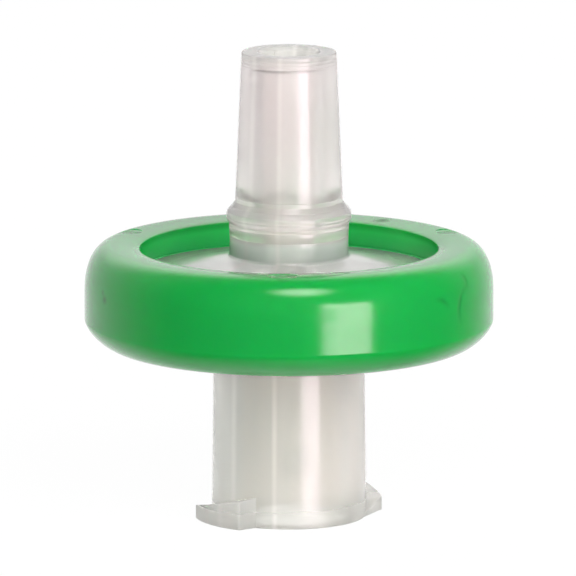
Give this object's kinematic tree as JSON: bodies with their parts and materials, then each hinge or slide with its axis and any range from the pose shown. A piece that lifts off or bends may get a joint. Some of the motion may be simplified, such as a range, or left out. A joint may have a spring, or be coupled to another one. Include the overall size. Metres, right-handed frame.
{
  "type": "syringe filter",
  "caption": "Small disc syringe filter: clear housing with a male luer slip tip above and a female luer lock below, gripped by a green moulded ring.",
  "frame": {"origin": "centre of the female luer's open end face, on which the part stands", "axes": "+Z along the flow axis, from the female luer lock to the male luer tip; the first lock lug lies at 36 degrees from +X towards +Y"},
  "size_m": [0.017, 0.017, 0.0196],
  "materials": {
    "clear_housing": "natural translucent polypropylene, as moulded",
    "filter_disc": "matt white microporous film",
    "green_ring": "glossy green polypropylene, as moulded"
  },
  "bodies": {
    "root": {"inlet_shell": "clear_housing", "outlet_shell": "clear_housing", "membrane": "filter_disc", "overmould_ring": "green_ring"}
  },
  "joints": []
}
